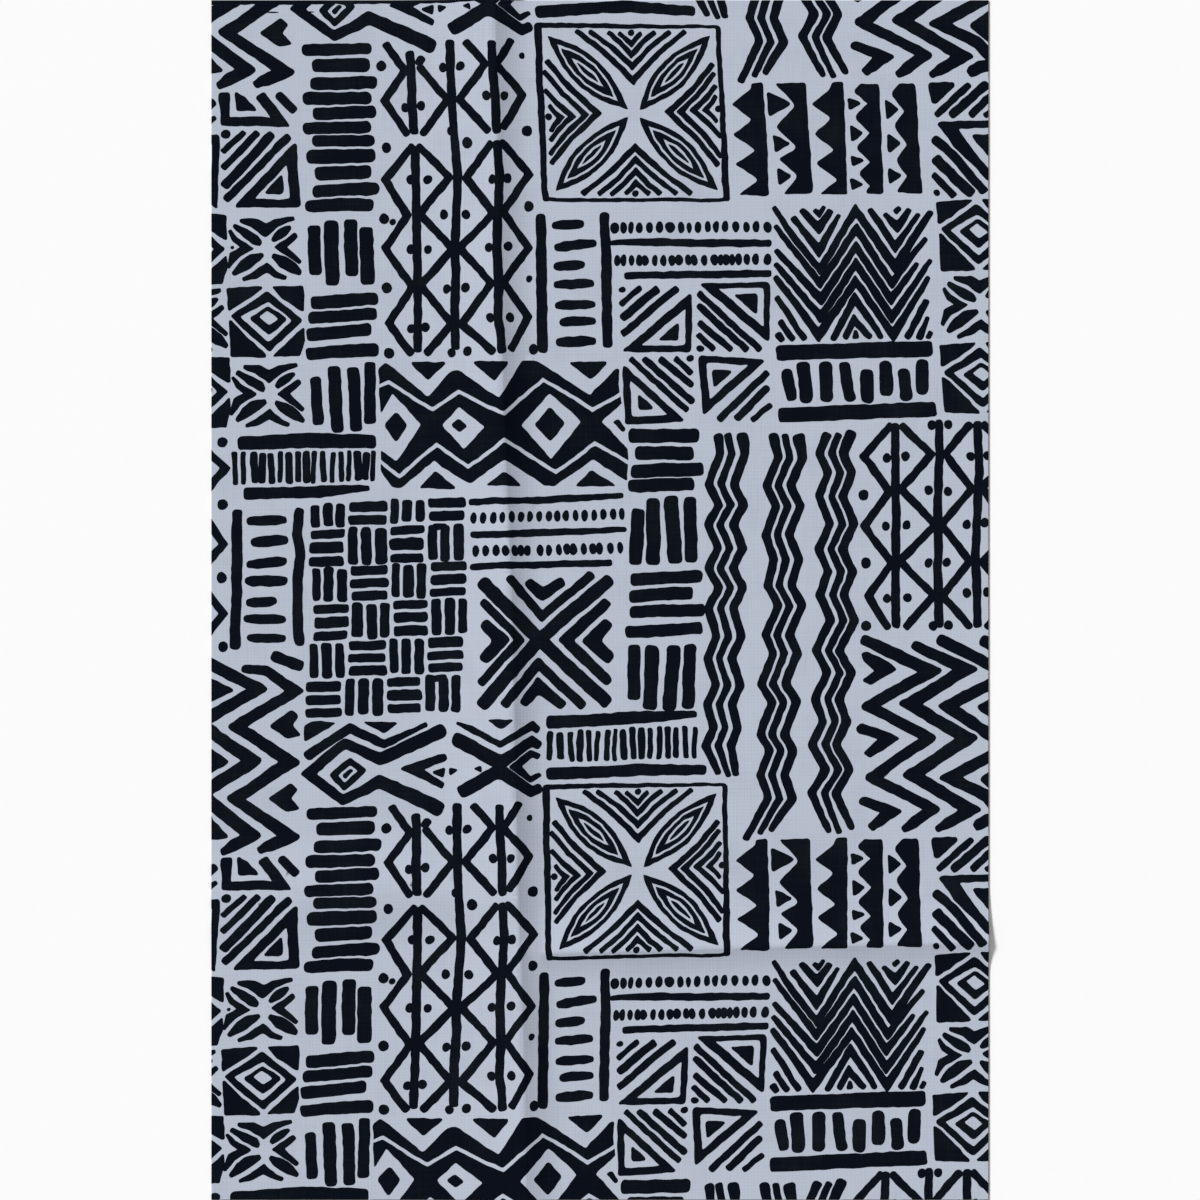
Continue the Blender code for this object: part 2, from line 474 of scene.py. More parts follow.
def printBeads():
    for widths, points in beads["lines"]:
        brushLine(points, widths)
    for (left, right), *row in beads["rows"]:
        first, last = row[0][0], row[-1][0]
        for u, wide in row:
            blob(u, left + (right - left) * (u - first) / (last - first), wide, beads["height"])


# Sawtooth columns
sawColumns = (
    {   # the straight side's ends, the toothed side from its top to its bottom
        "straight": ((261.05, 39.5), (263.75, 92.5)),
        "teeth": ((255.8, 39.6), (255.5, 42.5), (246.3, 49.4), (256.5, 56.5), (247.3, 63.6), (258, 71),
                  (248, 77.6), (259.5, 85.2), (250.3, 92.2)),
        "wedges": (),
    },
    {
        "straight": ((281.05, 39.4), (284.25, 91.2)),
        "teeth": ((267, 39.8), (276.8, 50), (267.5, 60), (277.3, 69.4), (268.8, 75.3), (278, 83.2),
                  (271.2, 91.4)),
        "wedges": ((263.5, 274, 49.2, 5.6), (266, 273.7, 67.7, 4), (268.2, 274.3, 83.4, 4)),
    },
    {
        "straight": ((298.75, 39), (300.85, 92)),
        "teeth": ((293.7, 39.2), (292.6, 43), (284.3, 49.1), (293.8, 56), (285.5, 63.5), (295.4, 71),
                  (286.2, 77.1), (297, 85), (288.3, 91.4)),
        "wedges": (),
    },
    {
        "straight": ((315.65, 39.8), (318.05, 91.5)),
        "teeth": ((307.5, 39.9), (303.5, 43.1), (311.2, 48.9), (304.4, 55.6), (311.7, 62.8), (304.8, 69.9),
                  (312.3, 76.9), (306.4, 82), (312.3, 88), (309.5, 91.5)),
        "wedges": ((301.2, 307.2, 49, 2.7), (302.4, 308.1, 62.9, 3.9), (303, 308.7, 76.2, 2.4),
                   (302.8, 308.6, 87.2, 2.8)),
    },
    {
        "straight": ((333.05, 39.9), (336.25, 91.1)),
        "teeth": ((325.4, 40), (321.8, 44.5), (328, 52.6), (322.8, 59.2), (329.4, 68.5), (323.8, 75.9),
                  (329.6, 83.4), (323.9, 90.7)),
        "wedges": ((318.9, 324.8, 51.6, 4.6), (320, 326, 67.8, 4.5), (320.2, 326.4, 83, 3.8)),
    },
)


sawCut = {
    "end": 1.2,            # how round the corners are
    "tip": 1,
    "notch": 2.4,
    "wedge": 1.5,
    "wedgeSpread": ((-0.3, -0.2), (0.3, -0.1), (0.5, 0.3)),      # of its upper back, tip and lower back
}


def printSawColumns():
    for column in sawColumns:
        top, bottom = column["straight"]
        teeth = column["teeth"]
        middle = [sawCut["notch"] if i % 2 else sawCut["tip"] for i in range(len(teeth))]
        cutShape([top, *teeth, bottom], [sawCut["end"], *middle, sawCut["end"]])
        for back, tip, v, half in column["wedges"]:
            (a, b), (c, d), (e, f) = sawCut["wedgeSpread"]
            cutShape([(back + a, v - half + b), (tip + c, v + d), (back + e, v + half + f)], sawCut["wedge"])


# Nested zigzags
nestedZigzags = (      # widths along a stroke, and its points
    ((1.7, 2.3, 1.4), ((285.3, 99), (287.8, 101.3), (290.3, 97.8))),
    ((2.8, 3.8, 2.4), ((279.2, 99), (287.5, 107.9), (293.4, 99.4))),
    ((2.3, 3.8, 1.7), ((275, 102.2), (287.5, 118.7), (297, 101.5))),
    ((2.2, 2.2), ((323.3, 100.4), (326, 98.1))),
    ((2.2, 3.6, 2.4), ((318.4, 101), (324.5, 107.6), (330.6, 98.8))),
    ((2.6, 3.3, 2), ((311.2, 98.8), (323.7, 116.8), (334.7, 101.3))),
    ((2.2, 3, 3.1, 3.2, 4, 2.8), ((265.9, 97.5), (275, 111.5), (288, 127.7), (304.6, 99.4),
                                      (323.7, 126.2), (340.5, 100))),
    ((2.2, 3.1, 3.2, 3.3, 3, 1.9), ((266.4, 106.6), (288, 134.1), (305.2, 108.1), (322.3, 134),
                                      (329.6, 123.1), (338.3, 112.8))),
    ((2.2, 3.8, 3, 3.4, 2.2), ((266.8, 118.2), (288.5, 141.6), (305.2, 116.6), (321.9, 141.7),
                               (334, 124.6))),
    ((2.2, 3.6, 3.2, 3.6, 1.9), ((266.7, 124.6), (288.3, 150.1), (305.2, 124.6), (322.2, 150.3),
                                 (340.2, 123.1))),
    ((2.4, 3.8, 3.1, 3.6, 2.2), ((266.9, 130.7), (287.5, 158.8), (304.9, 132.9), (322.7, 158.8),
                                 (339.4, 130.9))),
    ((2.8, 3.3, 2.4), ((294, 160.7), (304.4, 141), (317.4, 160))),
    ((2.4, 3.2, 2.5), ((299.5, 160.1), (304.1, 151.4), (312.2, 160.1))),
    ((1, 2.6, 3), ((304.7, 156.4), (304.8, 158.6), (304.9, 160.2))),
    ((2.7, 2.7), ((267.4, 140.5), (280.7, 160.7))),
    ((2.6, 2.6), ((269, 151.9), (275.5, 160.8))),
    ((3, 3), ((267.8, 157.6), (270.6, 161.3))),
    ((2.8, 3), ((328.9, 160.1), (338.5, 142))),
    ((3.4, 1.5), ((334.5, 160.3), (339, 150))),
    ((2.2, 1.8), ((338.7, 159.9), (340.5, 156.8))),
)


def printNestedZigzags():
    for widths, points in nestedZigzags:
        brushLine(points, widths, ends=0.42, bends=0.3)


# Diamond band
diamondBand = {
    "outline": (
        (79.4, 174.2), (82.8, 171.6), (102.6, 188.2), (113.2, 175.8), (117.8, 175.8), (136.4, 189.2),
        (147, 171),
        (153.3, 170.6), (179.2, 187.4), (191, 175), (193, 175), (192.6, 183), (193.4, 187),
        (196.8, 216.5), (196.8, 227.6), (180.6, 217.2), (162, 230.2), (157.6, 229.6), (138.9, 217.2),
        (121.9, 228.9), (105.5, 217.8), (89.4, 230.8), (86.2, 230.5), (80.2, 222.6), (80.2, 200),
    ),
    "pale": (
        [(74, 184.5), (84.3, 180.9), (104.5, 193.9), (116.8, 185.3), (138.3, 196.2), (157, 179.5),
         (180.6, 193.9),
         (200, 183)],
        [(74, 214), (89.1, 225.3), (106.5, 210.2), (121.4, 221), (138.8, 208.3), (163, 223.8),
         (181.6, 209.8),
         (202, 221.5)],
    ),
    "paleWidth": 2.3,
    "diamonds": (      # the pale diamond, and the dark one inside it
        (((85.7, 186), (99.6, 200.8), (87.6, 218.4), (80.4, 213.4), (75, 213), (75, 196), (80.3, 195.2)),
         ((87.3, 195.2), (92.6, 201.4), (87.1, 209), (81.8, 201.3))),
        (((117.1, 192), (129.6, 202), (119.3, 212.8), (108.6, 201.3)),
         ((117.4, 198.2), (120.9, 201.8), (117.6, 204.6), (113.4, 201.3))),
        (((160.1, 186), (175.2, 199.5), (160.6, 217.8), (146.2, 201.4)),
         ((160.1, 192.8), (166.9, 200.3), (160.3, 209), (153, 201.3))),
        (((184.3, 199.7), (194, 190.3), (206, 186), (206, 222), (197.2, 213.7), (190.6, 206.2)),
         ((189.6, 199.5), (192.4, 198.8), (195.9, 203.2), (194.6, 204.6))),
    ),
    "wedges": (
        ((93.9, 171.4), (110.9, 171.6), (102.6, 180)), ((123.8, 171.2), (140.6, 171.3), (134.2, 180.4)),
        ((169, 171.4), (187.3, 171.4), (179.3, 179.6)), ((106, 223), (115.7, 230.8), (98.5, 231)),
        ((139, 223.2), (146.8, 229.9), (130, 229.9)), ((179.9, 222.8), (191.4, 229.9), (172.4, 230.1)),
    ),
}


def printDiamondBand():
    cutShape(diamondBand["outline"], 1.4)
    for points in diamondBand["pale"]:
        brushLine(points, diamondBand["paleWidth"], ink=False)
    for pale, dark in diamondBand["diamonds"]:
        cutShape(pale, 1.3, ink=False)
        cutShape(dark, 1.5)
    for points in diamondBand["wedges"]:
        cutShape(points, 1.5)


# Triangle cells
triangleCells = {
    "rings": (       # the ring's corners, how far its band and its solid core lie inside them, on each side
        (((227, 138.6), (227, 166.6), (194.4, 166.2)), (2.5, 2.6, 3.5), (6.1, 5.5, 6.8)),
        (((230.9, 134.2), (264.4, 133.6), (263.8, 162)), (2.2, 2.4, 3.8), (5.5, 5.8, 6.5)),
        (((194.9, 172.6), (224, 199.2), (195.7, 201.2)), (3.1, 3.3, 2.8), (5.6, 6.8, 6.5)),
        (((230.6, 168.4), (262.3, 170.4), (232.6, 196.8)), (2.7, 3.4, 3.2), (6.2, 6.4, 6)),
        (((343.4, 57.9), (376.4, 56.8), (375.4, 92.2), (352.4, 70.4)), (3.1, 3, 3.9, 5.9),
         (6.7, 7, 8.4, 9.7)),
        (((412.7, 60), (414.8, 90.9), (383.2, 90.7)), (4.5, 3.5, 4.2), (7.6, 6.5, 5.9)),
    ),
    "stripes": (
        (2.3, 203.2, 136.1, 193.6, 144.1), (3.6, 211.3, 136.5, 194, 150.9),
        (3.1, 220.2, 136.3, 194.2, 158.3),
        (2.8, 230.3, 138.6, 259.7, 165.9), (2.8, 230.1, 144.4, 253.5, 165.9),
        (2.9, 230.6, 152.6, 246.2, 165.7),
        (2.6, 230.2, 158.2, 238, 165.7),
        (2.5, 198.1, 169.5, 225.4, 194.4), (2.9, 204.7, 169.5, 228, 190.5), (2.8, 212, 169.5, 227.8, 182.5),
        (2.5, 219.5, 169.5, 227.6, 176.9),
        (2.9, 263.6, 176, 239.6, 199), (3.3, 263.6, 183, 248, 198.6), (2.3, 264.6, 191.3, 255.8, 199.1),
        (3, 358.6, 39.8, 342.8, 54.5), (4, 367.2, 39.6, 349.9, 54.8), (3.1, 373.9, 40.5, 358.9, 54.8),
        (2.4, 374.2, 48.5, 365.8, 55),
        (4.7, 342.2, 74.6, 360.2, 92.2), (2.9, 341.5, 82.4, 352.1, 93),
        (2.6, 388.6, 55.3, 377.5, 65), (3, 394.6, 55.6, 377.9, 72.7), (4, 401.8, 56, 378.4, 81.3),
        (3.3, 409.6, 57.2, 379, 87.6),
        (3.8, 403.8, 37.2, 412.2, 45.4),
    ),
    "bent": ((3.9, (341.9, 65.3), (351.5, 73.9), (358.9, 82.8), (366.3, 91.3)),),
    "cores": (
        ((339.6, 39.1), (351.3, 38.9), (351.5, 40.6), (342.6, 48.7), (340.6, 48.3)),
        ((383.8, 36.4), (388, 38.6), (394, 45.2), (384.9, 45)),
    ),
    "hooks": (       # a ring whose top is cut away
        [(378.7, 36.6), (379.1, 50.3), (405.6, 50.4), (395.4, 37.6)],
    ),
    "hookWidths": (5.2, 4, 4.2, 5),
    "dots": ((194.4, 137, 3.2, 2.4), (231.2, 165, 3.6, 3), (226.6, 169.6, 3.2, 2.8), (343.3, 91, 2.6, 2.8),
             (379.4, 56.4, 4.4, 4)),
}


def printTriangleCells():
    for corners, bands, cores in triangleCells["rings"]:
        nested(corners, bands, cores)
    strokes(triangleCells["stripes"], ends=0.4)
    for width, *points in triangleCells["bent"]:
        brushLine(points, width, ends=0.4)
    for points in triangleCells["cores"]:
        cutShape(points, 1.2)
    for points in triangleCells["hooks"]:
        brushLine(points, triangleCells["hookWidths"], ends=0.25, bends=0.25)
    for dot in triangleCells["dots"]:
        blob(*dot)


# Chequer of diamonds and stars
chequer = {
    "diamondCentres": ((362.6, 110.3), (364.2, 177.9), (399.3, 144.3)),
    "starCentres": ((364.6, 144.4), (399.3, 110.2), (400.8, 179.6)),
    "corners": (       # round a diamond, from its centre
        ((-19.4, -14.8), (-2.6, -15.7), (-2.8, -14.6), (-17.9, -4.4), (-18.7, -4.8)),
        ((2.2, -15.8), (17, -15.8), (17.2, -4.1), (15.9, -4.1), (4.4, -12.4)),
        ((-18.2, 0.5), (-17, 0.8), (-0.9, 16.6), (-1.2, 17.5), (-17.3, 17.5)),
        ((2.9, 16.7), (16.9, 3.4), (17.5, 9.6), (15.2, 16.9), (3.2, 17.2)),
    ),
    "diamonds": (      # by turns dark and pale, from the outermost inwards
        ((-0.4, -13.4), (16.5, 0.3), (0.7, 14.8), (-17.5, -1.7)),
        ((0.3, -9.1), (11.8, 0.3), (0.7, 10.8), (-13.3, -1.4)),
        ((0.3, -6.5), (9, -0.3), (0.7, 7), (-8.3, -0.7)),
        ((0, -4.9), (5.4, -0.4), (1, 2.9), (-4.4, -1.4)),
    ),
    "starStrokes": (   # the eight leaves of a star, from its centre
        ((1.2, 4.2, 5, 3.3, 1.4), ((-12.9, -13), (-6, -11.9), (-0.9, -8.2), (4.6, -12.1), (12.4, -14.1))),
        ((1.4, 3.9, 4.3, 2), ((-16, -10.7), (-10.5, -7.2), (-5.6, -4), (-3.2, -2.1))),
        ((1.5, 3.7, 3.6, 1.4), ((2.4, -3.6), (5, -5.9), (8.2, -8.2), (11, -9.9))),
        ((1.5, 2.5, 3.2, 3.8, 1.4), ((-18, -8.4), (-15.4, -4), (-9.8, -0.2), (-16.2, 3.6), (-18.8, 9.4))),
        ((2.3, 3.4, 1.8), ((13.7, -6.3), (6, -0.6), (15.4, 7.1))),
        ((1.6, 5, 5.2, 1.7), ((-16.2, 12.4), (-12, 8.8), (-7.2, 5.3), (-2.2, 3.1))),
        ((1.8, 5.2, 5, 1.7), ((2.2, 3.4), (7, 6.3), (11.6, 9.5), (15.6, 12.4))),
        ((1.2, 3.1, 3.7, 2.8, 1.4), ((-11.6, 15), (-6, 13), (-0.4, 9.1), (4.2, 12.7), (8.6, 14.5))),
    ),
    "speck": (382.5, 109.9, 1.1, 1.1),
}


def printChequer():
    for u, v in chequer["diamondCentres"]:
        for corner in chequer["corners"]:
            cutShape([(u + x, v + y) for x, y in corner], 1.0)
        for layer, diamond in enumerate(chequer["diamonds"]):
            cutShape([(u + x, v + y) for x, y in diamond], 1.3, ink=layer % 2 == 0)
    for u, v in chequer["starCentres"]:
        for widths, points in chequer["starStrokes"]:
            brushLine([(u + x, v + y) for x, y in points], widths, ends=0.42, bends=0.25)
    blob(*chequer["speck"])


# Big cross with chevrons
bigCross = {
    "arms": ((5.9, (127.6, 274.6), (155, 302.6), (187.8, 333.4)),
             (5.9, (189, 273.8), (155, 302.6), (127.4, 334.8))),
    "chevrons": (
        ([3.9, 3.8, 3.7], ((180.4, 271.6), (156.2, 291.8), (140.4, 273.2))),
        ([4.6, 5.2, 4.4], ((166.4, 275), (156.4, 281.5), (149, 274.9))),
        ([4.6, 5, 4.5], ((187.8, 284.2), (167.8, 303), (188.2, 323.2))),
        ([5.4, 6.2, 5.4], ((188.2, 294.2), (179.6, 303.3), (189, 312.6))),
        ([4.2, 4.2, 4.2], ((176.2, 334.6), (154.6, 314), (138.2, 334.4))),
        ([4.2, 5.6, 4], ((166.6, 334.2), (154.5, 324.4), (147.2, 333.6))),
        ([3.7, 3.8, 3.7], ((128.2, 284.2), (145.8, 302.7), (127.2, 324))),
        ([5, 6, 5.2], ((128.6, 294.6), (137.2, 303), (128.2, 313))),
    ),
}


def printBigCross():
    for width, *points in bigCross["arms"]:
        brushLine(points, width, ends=0.4)
    for widths, points in bigCross["chevrons"]:
        brushLine(points, widths, ends=0.42)


# Basket of short bars
basket = {
    "columns": ((47, 16), (65.3, 17.7), (84.9, 15.8), (103, 16.6)),      # left side and width
    "rows": (      # top and bottom at the left end, and the row's shift to the right
        (238.6, 249.2, 0), (251, 268, -0.4), (269, 285, 0.7), (286.5, 303, 1.3), (304.5, 320.6, -0.6),
        (322.6, 339.2, -1.8),
    ),
    "tilt": -0.052,
    "bars": 3,
    "topBars": 2,                    # in a lying group of the top row
    "uneven": (0.8, 1.2),            # how thick a bar is beside its neighbours
    "ragged": ((-0.5, 0.6), (-0.6, 0.5)),      # how far its two ends stray
    "lean": (-0.5, 0.5),
    "slope": 0.3,
    "ends": 0.36,
    "joins": ((2.6, 104.5, 249.4, 111.5, 249.1), (2.6, 104.5, 321, 111.5, 320.7)),
    "gap": 2,
    "seed": 5,
}


def printBasket():
    draw = random.Random(basket["seed"])
    for row, (top, bottom, shift) in enumerate(basket["rows"]):
        for column, (left, wide) in enumerate(basket["columns"]):
            left += shift
            rise = basket["tilt"] * (left - basket["columns"][0][0])
            upright = (row + column) % 2 == 0
            count = basket["topBars"] if row == 0 and not upright else basket["bars"]
            extent = wide if upright else bottom - top
            shares = [draw.uniform(*basket["uneven"]) for _ in range(count)]
            unit = (extent - basket["gap"] * (count - 1)) / sum(shares)
            place = 0.0
            for share in shares:
                thick = unit * share
                middle = place + thick / 2
                place += thick + basket["gap"]
                a, b = (draw.uniform(*reach) for reach in basket["ragged"])
                if upright:
                    lean = draw.uniform(*basket["lean"])
                    bar = [(left + middle, top + rise + a), (left + middle + lean, bottom + rise + b)]
                else:
                    line = top + rise + middle
                    bar = [(left + a, line + basket["slope"]), (left + wide + b, line - basket["slope"])]
                brushLine(bar, thick, ends=basket["ends"])
    strokes(basket["joins"])


# Hanging waves
waves = {
    "widths": (3.5, 3, 3.7),       # of the three lines
    "groups": (      # how far the three lines lie beside the middle one, and the middle one's bends
        ((-5.4, 0.2, 6.3), ((246.4, 214.5), (240.8, 229.4), (245.6, 239.4), (240.4, 248.2), (245.2, 259.4),
                            (240.4, 269), (245.6, 278.2), (240.6, 288), (244.8, 301.2), (240, 311.8),
                            (243.9, 324.2), (240, 333.4), (243, 344.6), (239.4, 352.8))),
        ((-5.2, 0.2, 6.1), ((273.8, 216.3), (267.8, 229.8), (272.6, 239.6), (267.2, 253.2), (271.6, 264.6),
                            (268.4, 277.2), (273.4, 286.6), (267.4, 300.6), (271.2, 309.3), (265.4, 323.6),
                            (270.8, 332.6), (264.8, 347.6), (269.4, 355.2), (265, 366.8), (268.8, 378))),
        ((-6, 0, 5.3), ((293.8, 214.9), (297.8, 223.6), (293.6, 235.2), (298.8, 248), (293.2, 259.8),
                            (298.2, 270.6), (293.8, 281.8), (299.2, 293.6), (291.8, 308.2), (297.5, 318.2),
                            (291.7, 331), (295.6, 341.8), (290.2, 352.4), (296.6, 364), (290, 375.6))),
    ),
    "tops": (
        ((239.4, 205.4), (243.8, 205.2), (250.8, 205)),
        ((265.6, 205.2), (271.2, 205.4), (277.4, 205.2)),
        ((291.6, 205), (297, 205.2), (303.2, 203.8)),
    ),
    "feet": (
        ((239.8, 366.4), (244.8, 367.4), (248.4, 367)),
        ((252.4, 397.6), (259, 394.8), (264.4, 393.4)),
        ((292.6, 394), (297.4, 394.4), (303.4, 392.2)),
    ),
    "flares": (4.8, 3.2, 5.8),       # the lines' widths at their tops
    "footShare": 0.8,
}


def printWaves():
    for (offsets, bends), tops, feet in zip(waves["groups"], waves["tops"], waves["feet"]):
        for offset, top, foot, flare, width in zip(offsets, tops, feet, waves["flares"], waves["widths"]):
            points = [top, *((u + offset, v) for u, v in bends), foot]
            widths = [flare, *[width] * len(bends), width * waves["footShare"]]
            brushLine(points, widths, bends=0.42)


# Great zigzags
greatZigzags = {
    "lines": (       # the outside of a bend's roundness, then the widths and the points
        (0.80, (4.4, 6, 5.8, 5, 5, 5, 4.6, 3),
         ((307.6, 302), (322, 309), (341, 317.6), (311.1, 334.4), (339.8, 349.3), (312.7, 368),
          (341.5, 383), (327.2, 393.2))),
        (0.45, (4.4, 5.8, 5.8, 6, 5.8, 5.8, 3),
         ((331.8, 304.6), (357.3, 317), (330.4, 333.2), (357.8, 349.4), (331.8, 366.9), (359.5, 383.2),
          (343.2, 392.8))),
        (0.45, (5, 5.6, 5.2, 5.4, 5.2, 5.2, 5.4, 5.2, 3),
         ((343.6, 302.2), (377.7, 319.4), (348.2, 334.2), (376.7, 353.5), (349.5, 368.1), (367.2, 376.8),
          (375.8, 387.4), (367.6, 387.6), (361, 391.8))),
        (0.55, (5.6, 5.2, 5.8, 6, 5.7, 6.4, 3.2),
         ((364.2, 302.7), (395, 319.1), (366.7, 335), (392.4, 353.2), (367.6, 369), (391.8, 388.4),
          (377.4, 396.8))),
        (0.50, (3.6, 4.6, 5, 5.2, 5.8, 5.2, 6, 3),
         ((387.1, 309.2), (398.5, 310.4), (412.5, 319.9), (384.5, 336.8), (410.1, 353.8), (383.7, 371),
          (409.8, 388.8), (394.6, 396))),
    ),
    "waist": 0.94,
    "shoulder": (0.66, 5.2),       # where the last leg starts to narrow, and its width there
    "bar": (5.1, 401.4, 303.2, 416.2, 308.6),
    "tail": ((308, 309), (310, 308.6), (317.4, 311.6), (324.2, 317.1), (317.2, 321), (312.4, 324.2),
             (308.2, 322.2), (313.9, 317.8), (308.4, 312.4)),
    "arrow": ((-20.4, -5.2), (-17.8, -7.1), (-4.8, -2.7), (0.4, -0.1), (-5.6, 3.7), (-13.6, 9.2),
              (-16.6, 7),
              (-10, 0.2), (-19.6, -3.2)),          # from its tip
    "arrowTips": ((325.4, 349.7), (326.9, 384.1)),
    "heart": ((-0.4, 0.1), (10.2, -7.5), (13.2, -4.7), (9.8, -0.1), (14.2, 4.5), (7.8, 6.1)),
    "heartTips": ((400.7, 336.4), (400.2, 371.1)),
}


def printGreatZigzags():
    share, wide = greatZigzags["shoulder"]
    for outside, widths, points in greatZigzags["lines"]:
        (u1, v1), (u2, v2) = points[-2:]
        points = [*points[:-1], (u1 + (u2 - u1) * share, v1 + (v2 - v1) * share), points[-1]]
        widths = [*widths[:-1], wide, widths[-1]]
        brushLine(points, widths, ends=0.42, bends=0.2, outside=outside, waist=greatZigzags["waist"])
    strokes([greatZigzags["bar"]], ends=0.45)
    cutShape(greatZigzags["tail"], 1.2)
    for shape, tips in (("arrow", "arrowTips"), ("heart", "heartTips")):
        for u, v in greatZigzags[tips]:
            cutShape([(u + x, v + y) for x, y in greatZigzags[shape]], 1.4)


# Eye band
eyeBand = {
    "lines": (
        ([4.4, 3.9, 3.5, 1.6], ((44.8, 358.4), (65.4, 344.4), (81.8, 352.5), (101.8, 342.9))),
        ([6.2, 5.4, 4.4, 4.4, 4, 5.4, 7.2], ((110.6, 345), (79.9, 359.5), (63.1, 351.9), (45.4, 366.3),
                                             (62.2, 378.7),
                                               (79.4, 369.7), (109.4, 383.8))),
        ([3, 4.6, 2.8], ((111, 357.8), (94.6, 364.1), (109.8, 371.8))),
        ([1, 3, 2.2, 3.5, 3.2], ((116.2, 342.2), (123.6, 345), (136.2, 352.2), (151.8, 343.7), (155, 346))),
        ([6.6, 6, 4.2, 4.3], ((114.5, 348.8), (136.8, 361), (151.8, 350.6), (155.8, 353.2))),
        ([5.9, 6.2, 4.2, 4.2], ((117.4, 375.4), (136.7, 364.4), (151.5, 375), (156, 372.6))),
        ([2.6, 2.8, 3.8, 2.3, 1.5], ((155.3, 358.3), (151.5, 356.7), (143.6, 362.9), (150.8, 369.2),
                                     (155.6, 366.5))),
    ),
    "eye": (((65.4, 359), (73.2, 364.6), (62.6, 374.2), (55.4, 366.8)), 2.5, 4.1),
    "cuts": (
        ((44.2, 343.2), (48.4, 341.4), (58.6, 342.2), (52.3, 346.2), (44.2, 350.8)),
        ((72, 341.8), (88, 342.4), (81.8, 347)),
        ((104.7, 365.3), (110.4, 363.1), (109.9, 367.9)),
        ((116.5, 364.2), (112.9, 366.5), (112.5, 362.9)),
        ((124.2, 363.7), (128.2, 362.3), (128.1, 365.4)),
        ((131, 340.6), (143, 341), (136.9, 345)),
    ),
}


def printEyeBand():
    for widths, points in eyeBand["lines"]:
        brushLine(points, widths, ends=0.42)
    corners, band, core = eyeBand["eye"]
    nested(corners, band, core, 1.2)
    for points in eyeBand["cuts"]:
        cutShape(points, 1.1)


# Repeats
# The print steps over the cloth. The steps up and down also shear it, since the cloth isn't quite
# square, and the lower one is pulled about, most of all beside the lengthwise crease and at the
# lower left corner.
besideStep = complex(-372.8, 7.1)
printShift = 0.15

upperStep = {
    "move": (-5.2, -362.9),
    "lean": (0.09, 366),             # u's change with v, and where it is none
    "tilt": 0.017,                   # v's change with u
    "pull": (2, 195, 30),          # upwards, the place across the cloth, and its size
}

lowerStep = {      # the bend and the crease's pull are rounded from a fit to the photo
    "move": (3.1, 361.9),
    "lean": -0.036,
    "tilt": (-0.016, 11.4),          # v's change with u, and where it is none
    "shrink": -0.016,                # v's change with v
    "across": (184, 184),            # the middle of the bend, and its unit, across and down
    "down": (480, 90),
    "bend": ((0.4, 0, -1.1, -0.25), (0.2, 0.35, 0.9, -0.3)),      # fixed, by across, its square, by down
    "crease": (140, 38),             # the place across the cloth, and its size
    "creasePull": ((2.4, 1.4), (1, 0)),        # fixed and by down
    "corner": (80, 42),              # its reach across, and up from the bottom edge
    "cornerPull": (1.8, -1.4),
}


def stepUp(p):
    u, v = p.real, p.imag
    (moveU, moveV), (lean, level) = upperStep["move"], upperStep["lean"]
    reach, place, size = upperStep["pull"]
    pull = reach * math.exp(-((u - place) / size) ** 2)
    return complex(u + moveU + lean * (v - level), v + moveV + upperStep["tilt"] * u - pull)


def stepDown(p):
    (moveU, moveV), (tilt, upright) = lowerStep["move"], lowerStep["tilt"]
    u = p.real + moveU + lowerStep["lean"] * p.imag
    v = p.imag + moveV + tilt * (p.real - upright) + lowerStep["shrink"] * p.imag
    (middleU, unitU), (middleV, unitV) = lowerStep["across"], lowerStep["down"]
    across, down = (u - middleU) / unitU, (v - middleV) / unitV
    crease = math.exp(-((u - lowerStep["crease"][0]) / lowerStep["crease"][1]) ** 2)
    wide, tall = lowerStep["corner"]
    corner = math.exp(-(u / wide) ** 4 - ((cutLength["length"] - v) / tall) ** 4)
    pulls = []
    amounts = zip(lowerStep["bend"], lowerStep["creasePull"], lowerStep["cornerPull"])
    for bend, creasePull, cornerPull in amounts:
        bent = bend[0] + bend[1] * across + bend[2] * across ** 2 + bend[3] * down
        pulls.append(bent + crease * (creasePull[0] + creasePull[1] * down) + corner * cornerPull)
    return complex(u + pulls[0], v + pulls[1])


# a dark band of ink along the top edge, widest at the left and thinning out to the right, with two small
# specks below it
topEdgeBand = {
    "edge": ((-3, 2.1), (42, 1.9), (90, 1.4), (128, 0.8), (152, -0.4)),
    "past": -3,                      # the line runs this far past the selvedge
    "specks": ((29, 5.8, 6, 0.8), (46.5, 5.6, 4.6, 0.7)),
}


def roughened(outline, ink):
    # the outline with more points, pushed about as a hand-cut block's edge is, then thinned out again
    after = np.roll(outline, -1)
    points = []
    for a, b in zip(outline, after):
        count = max(1, math.ceil(abs(b - a) / handCut["step"]))
        points.extend(a + (b - a) * i / count for i in range(count))
    points = np.array(points)
    along = np.roll(points, -1) - np.roll(points, 1)
    turn = np.sign(np.sum((points.conj() * np.roll(points, -1)).imag))
    outward = -1j * turn * along / np.maximum(abs(along), 1e-6)
    points = points + outward * handCut["spread"] * (1 if ink else -1)
    moved = []
    for p in points:
        shift = 0
        for size, reach in (handCut["bend"], handCut["nick"]):
            push = noise.noise_vector(Vector((p.real / size, p.imag / size, handCut["seed"] * size)))
            shift += complex(push.x, push.y) * reach
        moved.append(p + shift)
    return thinned(np.array(moved))


